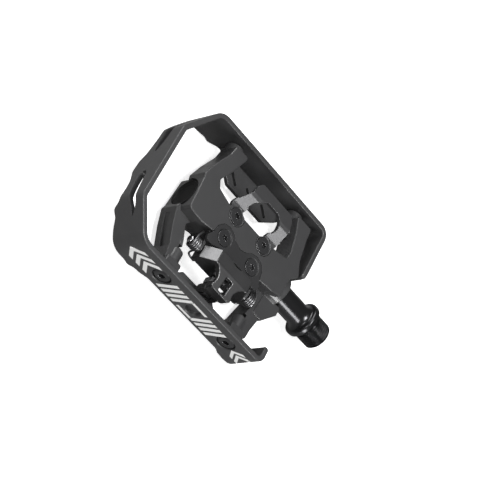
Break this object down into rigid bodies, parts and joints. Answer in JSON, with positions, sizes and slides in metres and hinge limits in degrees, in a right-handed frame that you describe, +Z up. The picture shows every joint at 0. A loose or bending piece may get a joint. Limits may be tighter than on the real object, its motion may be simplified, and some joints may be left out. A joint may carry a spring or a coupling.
{
  "type": "clipless pedal",
  "caption": "Bicycle pedal with a spring-loaded cleat binding on its upper face and a black metal platform cage round the body.",
  "frame": {"origin": "centre of the body's upper face, straight above the spindle's axis (the axis is 8.8 mm below it)", "axes": "+X along the spindle towards the crank, +Y towards the toe side of the upper face, +Z up out of the face with the cleat binding"},
  "size_m": [0.123, 0.0782, 0.0292],
  "materials": {
    "spindle_black": "black plated chromoly steel, polished",
    "steel": "turned steel, zinc plated",
    "bright_steel": "bright hardened steel",
    "bushing_polymer": "self-lubricating polymer bushing",
    "rubber": "lip seal",
    "cap_plastic": "moulded cap",
    "body_black": "forged, black anodised satin",
    "cage_black": "formed, black anodised with fine grain",
    "bolt_black": "black oxide steel",
    "plate_steel": "black plated steel plate",
    "claw_steel": "dark nickel plated cast steel"
  },
  "bodies": {
    "spindle_unit": {"spindle": "spindle_black", "lock_nut": "steel", "lock_washer": "steel", "bearing_inner_race": "bright_steel"},
    "ball_ring": {"bearing_balls": "bright_steel"},
    "platform": {"bearing_outer_race": "bright_steel", "inboard_bushing": "bushing_polymer", "dust_seal": "rubber", "end_cap": "cap_plastic", "body": "body_black", "cage": "cage_black", "cage_bolt_toe_outer": "bolt_black", "cage_bolt_toe_crank": "bolt_black", "cage_bolt_heel_outer": "bolt_black", "cage_bolt_heel_crank": "bolt_black", "toe_claw": "claw_steel", "heel_plate": "plate_steel", "toe_screw_outer": "bolt_black", "toe_screw_crank": "bolt_black", "heel_screw_outer": "bolt_black", "heel_screw_crank": "bolt_black", "pivot_pin_outer": "bright_steel", "pivot_pin_crank": "bright_steel", "torsion_spring_outer": "bright_steel", "torsion_spring_crank": "bright_steel"},
    "claw_unit": {"heel_claw": "claw_steel"},
    "screw_unit": {"tension_screw": "bolt_black"},
    "nut_unit": {"tension_nut": "steel"}
  },
  "joints": [
    {"name": "platform_spin", "type": "hinge", "parent": "spindle_unit", "child": "platform", "pos_m": [0, 0, -0.0088], "axis": [1, 0, 0], "continuous": true},
    {"name": "ball_spin", "type": "hinge", "parent": "spindle_unit", "child": "ball_ring", "pos_m": [0, 0, -0.0088], "axis": [1, 0, 0], "continuous": true},
    {"name": "heel_claw_pivot", "type": "hinge", "parent": "platform", "child": "claw_unit", "pos_m": [0, -0.0172, -0.0049], "axis": [1, 0, 0], "range_deg": [0, 12], "stiffness_Nm_per_rad": 6, "springref_deg": -11.46},
    {"name": "tension_screw_turn", "type": "hinge", "parent": "claw_unit", "child": "screw_unit", "pos_m": [0, -0.026, -0.007], "axis": [0, 1, 0], "range_deg": [0, 1080]},
    {"name": "tension_nut_slide", "type": "slide", "parent": "claw_unit", "child": "nut_unit", "axis": [0, -1, 0], "range_m": [0, 0.0024]}
  ],
  "couplings": [
    {"joint": "ball_spin", "follows": "platform_spin", "ratio": 0.42},
    {"joint": "tension_screw_turn", "follows": "tension_nut_slide", "rad_per_m": 7853.9}
  ]
}
